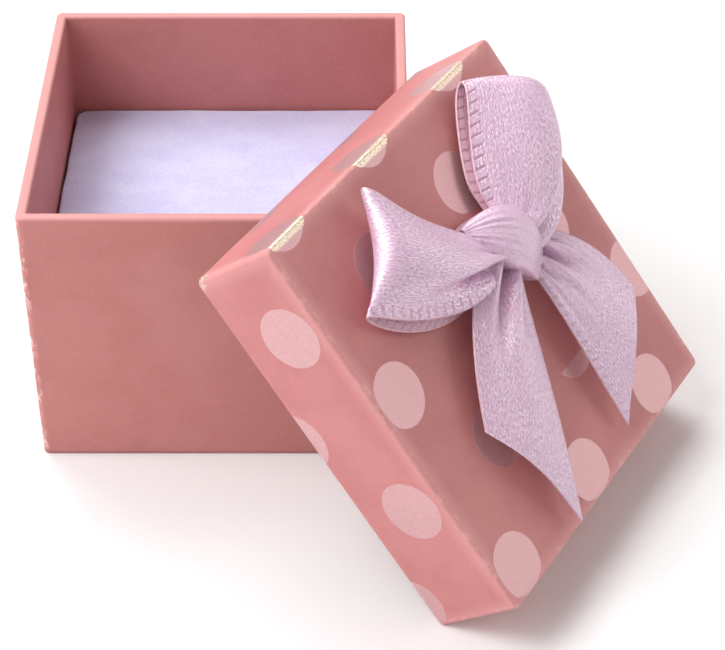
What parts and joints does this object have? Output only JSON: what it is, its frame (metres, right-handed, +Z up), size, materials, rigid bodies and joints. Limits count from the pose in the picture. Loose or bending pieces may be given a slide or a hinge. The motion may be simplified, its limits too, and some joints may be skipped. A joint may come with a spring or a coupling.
{
  "type": "jewelry gift box",
  "caption": "Small square paper-covered box with a foam insert, its lid off and leaning on one corner, with spots and a ribbon bow on the lid.",
  "frame": {"origin": "centre of the base's underside, on the surface that the box stands on", "axes": "+Z up out of the open base, -Y out of the base's front face, +X to the right; the lid leans at the base's front right corner"},
  "size_m": [0.0828, 0.0801, 0.0503],
  "materials": {
    "greyboard": "matte",
    "stay_tape": "matte",
    "base_paper": "matte",
    "lid_paper": "satin",
    "foam": "matte",
    "velvet": "matte",
    "glue": "gloss",
    "ribbon": "satin"
  },
  "bodies": {
    "base": {"base_board": "greyboard", "base_wrap": "base_paper", "base_stay_front_left": "stay_tape", "base_stay_front_right": "stay_tape", "base_stay_back_left": "stay_tape", "base_stay_back_right": "stay_tape"},
    "insert": {"insert_foam": "foam", "insert_velvet": "velvet"},
    "lid": {"lid_board": "greyboard", "lid_wrap": "lid_paper", "lid_stay_front_left": "stay_tape", "lid_stay_front_right": "stay_tape", "lid_stay_back_left": "stay_tape", "lid_stay_back_right": "stay_tape", "bow_glue_dot": "glue", "bow_knot": "ribbon", "bow_loop_top": "ribbon", "bow_loop_left": "ribbon", "bow_tail_left": "ribbon", "bow_tail_right": "ribbon"}
  },
  "joints": [
    {"name": "insert_lift", "type": "slide", "parent": "base", "child": "insert", "axis": [0, 0, 1], "range_m": [0, 0.0135]},
    {"name": "lid_lift", "type": "slide", "parent": "base", "child": "lid", "axis": [0, 0, 1], "range_m": [0, 0.045]}
  ]
}
